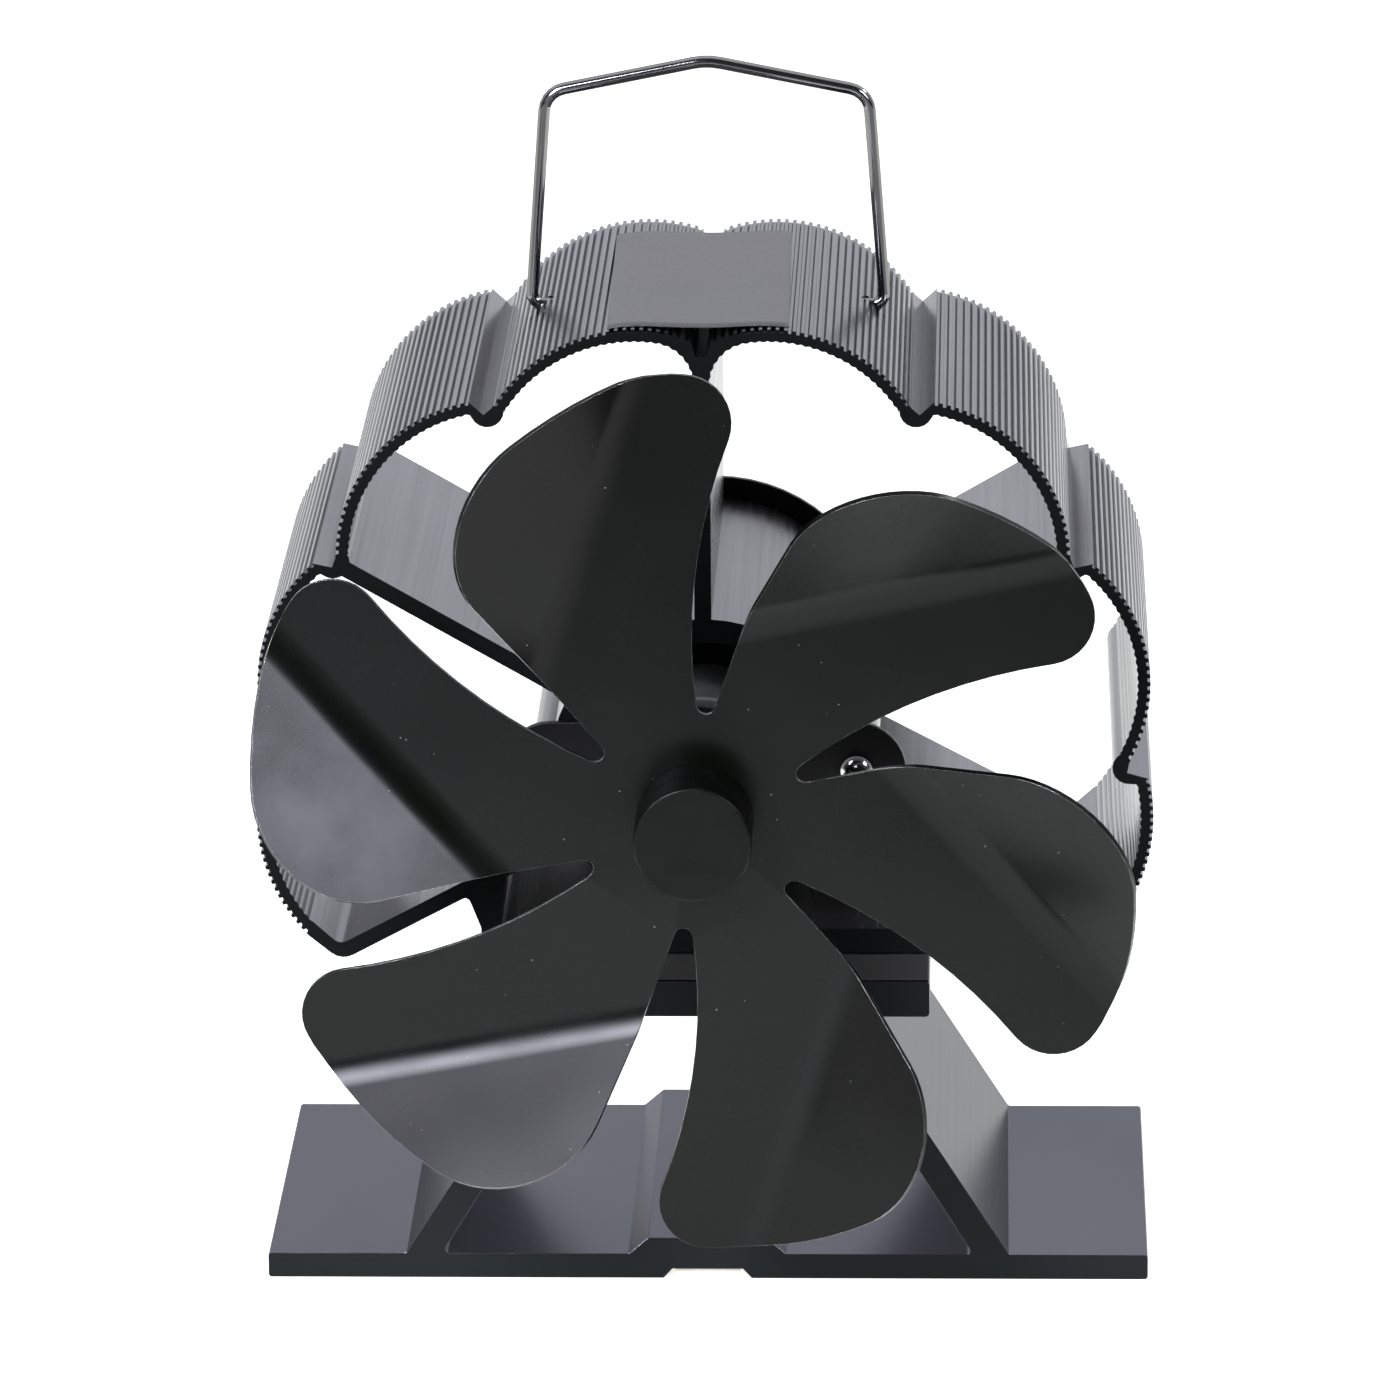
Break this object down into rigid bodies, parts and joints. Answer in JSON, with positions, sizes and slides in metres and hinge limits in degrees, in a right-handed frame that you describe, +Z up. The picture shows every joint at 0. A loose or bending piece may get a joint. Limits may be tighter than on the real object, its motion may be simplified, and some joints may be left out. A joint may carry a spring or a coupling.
{
  "type": "heat-powered stove fan",
  "caption": "Stove-top fan: ribbed aluminium stand and lobed heatsink, thermoelectric block between them, small motor, scooped sheet-metal blades and a folding wire carrying handle.",
  "frame": {"origin": "on the surface the fan stands on, under the middle of the whole fan's box, 26.9 mm in front of the middle of its stand because the blades stand out in front", "axes": "+Z up and along the height, +X to the right as seen from the fan blades' side, +Y from the blades back through the heatsink"},
  "size_m": [0.1812, 0.1569, 0.2442],
  "materials": {
    "base_aluminium": "brushed anodised, dark grey",
    "heatsink_aluminium": "anodised, dark grey",
    "fan_black": "satin black coat",
    "hub_black": "smooth black",
    "bracket_black": "satin black anodised",
    "cover_black": "satin black anodised",
    "insulating_frame": "matt black, heat resistant",
    "polished_steel": "polished wire",
    "screw_chrome": "bright plated",
    "motor_steel": "bright plated can",
    "shaft_steel": "ground",
    "magnet_grey": "sintered, matt",
    "armature_copper": "enamelled windings",
    "end_bell_plastic": "moulded, matt",
    "bush_bronze": "sintered bronze",
    "terminal_brass": "stamped",
    "generator_ceramic": "white, matt",
    "thermal_pad": "soft, matt",
    "bimetal": "bright rolled",
    "lead_red": "smooth insulation",
    "lead_black": "smooth insulation"
  },
  "bodies": {
    "stand": {"base_extrusion": "base_aluminium", "heatsink_extrusion": "heatsink_aluminium", "insulating_frame": "insulating_frame", "teg_module": "generator_ceramic", "thermal_pad_lower": "thermal_pad", "thermal_pad_upper": "thermal_pad", "clamp_screw_1": "screw_chrome", "clamp_screw_2": "screw_chrome", "clamp_screw_3": "screw_chrome", "clamp_screw_4": "screw_chrome", "bimetal_strip": "bimetal", "strip_rivet": "motor_steel", "front_bracket": "bracket_black", "bracket_screw_left": "screw_chrome", "bracket_screw_right": "screw_chrome", "motor_screw_left": "screw_chrome", "motor_screw_right": "screw_chrome", "motor_can": "motor_steel", "motor_bush": "bush_bronze", "motor_end_bell": "end_bell_plastic", "motor_magnet_left": "magnet_grey", "motor_magnet_right": "magnet_grey", "motor_terminal_left": "terminal_brass", "motor_terminal_right": "terminal_brass", "rear_cover": "cover_black", "cover_screw_left": "screw_chrome", "cover_screw_right": "screw_chrome", "lead_red": "lead_red", "lead_black": "lead_black"},
    "fan": {"fan_blades": "fan_black", "fan_hub": "hub_black", "hub_collar": "hub_black", "set_screw": "screw_chrome", "motor_shaft": "shaft_steel", "motor_armature": "armature_copper"},
    "handle": {"wire_handle": "polished_steel"}
  },
  "joints": [
    {"name": "fan_spin", "type": "hinge", "parent": "stand", "child": "fan", "pos_m": [-0.0008, -0.0574, 0.1091], "axis": [0, -1, 0], "continuous": true},
    {"name": "handle_fold", "type": "hinge", "parent": "stand", "child": "handle", "pos_m": [0, 0.0309, 0.1925], "axis": [1, 0, 0], "range_deg": [-70, 70]}
  ]
}
